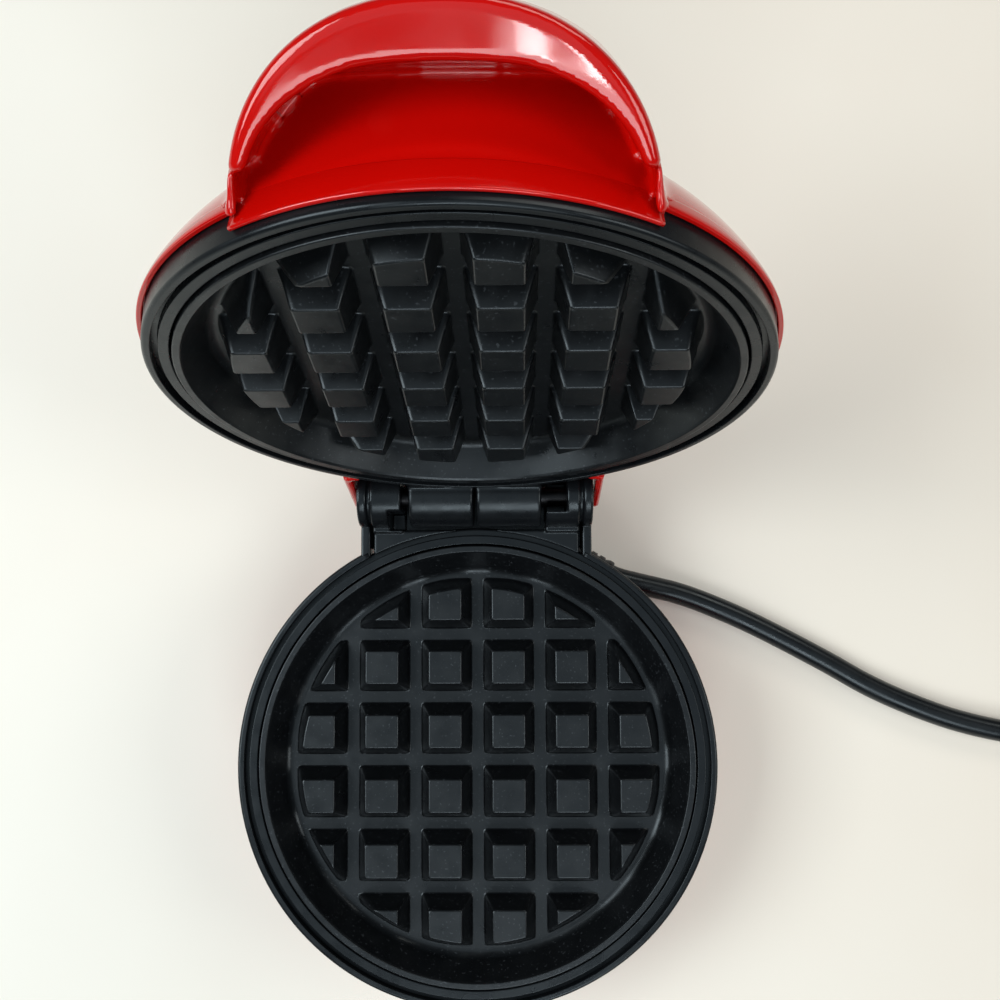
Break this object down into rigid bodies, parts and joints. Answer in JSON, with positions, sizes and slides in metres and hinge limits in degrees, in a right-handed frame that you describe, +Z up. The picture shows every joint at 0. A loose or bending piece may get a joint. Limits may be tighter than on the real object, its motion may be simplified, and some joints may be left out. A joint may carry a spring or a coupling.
{
  "type": "waffle maker",
  "caption": "Small round waffle maker with a hinged domed lid, hood handle, pegged non-stick plates and a mains cord, shown open.",
  "frame": {"origin": "on the standing surface, under the middle of the object without its cord, with the lid open", "axes": "+X to the right seen from the handle side, +Y to the hinge, +Z up"},
  "size_m": [0.3092, 0.197, 0.17],
  "materials": {
    "red_shell": "glossy red moulded plastic",
    "black_plastic": "fine satin black moulded plastic",
    "nonstick": "cast aluminium with black non-stick coating",
    "heater_steel": "oxidised steel tube",
    "reflector": "bright pressed aluminium sheet",
    "screw_steel": "zinc plated steel",
    "pin_steel": "blackened steel",
    "rubber": "soft black rubber",
    "ceramic": "cream heat-proof insulator",
    "lead": "braided glass fibre sleeve",
    "lens": "translucent amber lens",
    "lamp": "small glow lamp",
    "cord_jacket": "smooth black cord jacket",
    "blade": "plated blades"
  },
  "bodies": {
    "base": {"base_housing": "red_shell", "bottom_cover": "black_plastic", "feet": "rubber", "base_bezel": "black_plastic", "lower_plate": "nonstick", "lower_heater": "heater_steel", "lower_reflector": "reflector", "thermostat": "black_plastic", "thermostat_strap": "screw_steel", "thermal_fuse": "ceramic", "terminal_block": "ceramic", "base_leads": "lead", "cover_screws": "screw_steel", "base_bezel_screws": "screw_steel", "lower_plate_screws": "screw_steel", "hinge_pins": "pin_steel", "strain_relief": "rubber", "cord_grip": "black_plastic", "power_cord": "cord_jacket", "cord_coil": "cord_jacket", "coil_tie": "rubber", "plug_body": "cord_jacket", "plug_blades": "blade"},
    "lid": {"lid_housing": "red_shell", "lid_bezel": "black_plastic", "upper_plate": "nonstick", "upper_heater": "heater_steel", "upper_reflector": "reflector", "lid_leads": "lead", "lid_bezel_screws": "screw_steel", "upper_plate_screws": "screw_steel", "indicator_lens": "lens", "indicator_lamp": "lamp"}
  },
  "joints": [
    {"name": "lid_hinge", "type": "hinge", "parent": "base", "child": "lid", "pos_m": [0, 0.0348, 0.036], "axis": [1, 0, 0], "range_deg": [0, 105]}
  ]
}
